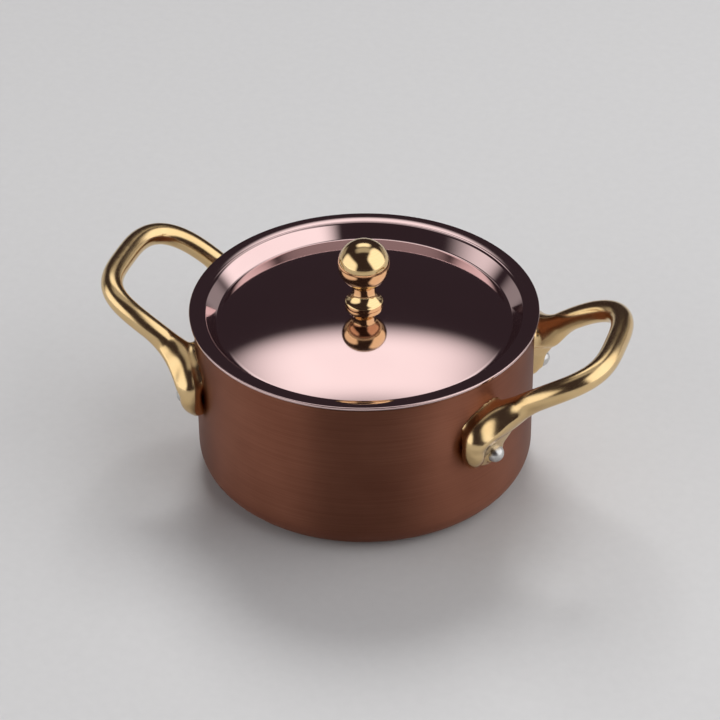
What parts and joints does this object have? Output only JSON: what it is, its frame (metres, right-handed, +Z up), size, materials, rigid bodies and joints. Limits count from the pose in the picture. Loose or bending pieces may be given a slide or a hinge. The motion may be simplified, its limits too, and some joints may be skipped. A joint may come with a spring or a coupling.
{
  "type": "mini cocotte",
  "caption": "Small round lidded cooking pot: straight wall, rounded lower edge, domed lid in a recess, ball knob and raised riveted loop handles on opposite sides.",
  "frame": {"origin": "centre of the pot's flat base, on the surface that it stands on", "axes": "+Z up along the pot's axis, +X from the pot's axis through the middle of one handle, and the other handle lies along -X"},
  "size_m": [0.1468, 0.0956, 0.0698],
  "materials": {
    "copper": "polished copper, brushed round the pot's wall and bright on the lid",
    "steel": "satin stainless steel",
    "brass": "polished cast brass"
  },
  "bodies": {
    "pot": {"pot_shell": "copper", "pot_lining": "steel", "handle_right": "brass", "handle_left": "brass", "rivet_right_front": "steel", "rivet_right_back": "steel", "rivet_left_back": "steel", "rivet_left_front": "steel"},
    "lid": {"lid_shell": "copper", "lid_lining": "steel", "knob": "brass", "knob_screw": "steel"}
  },
  "joints": [
    {"name": "lid_lift", "type": "slide", "parent": "pot", "child": "lid", "axis": [0, 0, 1], "range_m": [0, 0.12]}
  ]
}
